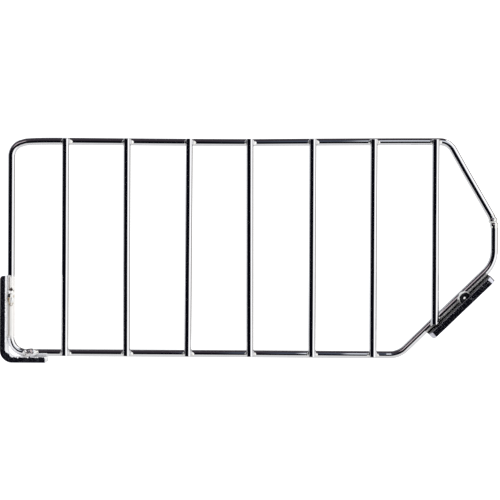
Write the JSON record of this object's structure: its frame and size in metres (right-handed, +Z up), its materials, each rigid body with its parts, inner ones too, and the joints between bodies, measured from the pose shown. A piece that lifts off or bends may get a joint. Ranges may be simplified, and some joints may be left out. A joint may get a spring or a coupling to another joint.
{
  "type": "wire shelf divider",
  "caption": "Chrome wire shelf divider: a closed loop with a chamfered front, uprights welded across one side, a bent flat bar at the rear foot and a flat bar seat on the lower front slope.",
  "frame": {"origin": "under the middle of the divider, at the level of the rear foot's underside, in the plane of the loop's wire", "axes": "+X from the rear of the divider to its nose, +Y away from the side the uprights are welded to, +Z up"},
  "size_m": [0.4114, 0.0262, 0.187],
  "materials": {
    "chrome_wire": "bright chrome plate over drawn steel wire",
    "chrome_bar": "bright chrome plate over sheared steel bar, its cut edges rough",
    "weld_metal": "chrome plate over weld metal, a little duller and uneven"
  },
  "bodies": {
    "root": {"frame_wire": "chrome_wire", "butt_weld": "weld_metal", "cross_wire_1": "chrome_wire", "cross_wire_2": "chrome_wire", "cross_wire_3": "chrome_wire", "cross_wire_4": "chrome_wire", "cross_wire_5": "chrome_wire", "cross_wire_6": "chrome_wire", "cross_wire_7": "chrome_wire", "top_weld_1": "weld_metal", "top_weld_2": "weld_metal", "top_weld_3": "weld_metal", "top_weld_4": "weld_metal", "top_weld_5": "weld_metal", "top_weld_6": "weld_metal", "top_weld_7": "weld_metal", "bottom_weld_1": "weld_metal", "bottom_weld_2": "weld_metal", "bottom_weld_3": "weld_metal", "bottom_weld_4": "weld_metal", "bottom_weld_5": "weld_metal", "bottom_weld_6": "weld_metal", "bottom_weld_7": "weld_metal", "rear_bracket": "chrome_bar", "front_plate": "chrome_bar", "rear_upper_weld": "weld_metal", "rear_lower_weld": "weld_metal", "front_weld": "weld_metal"}
  },
  "joints": []
}
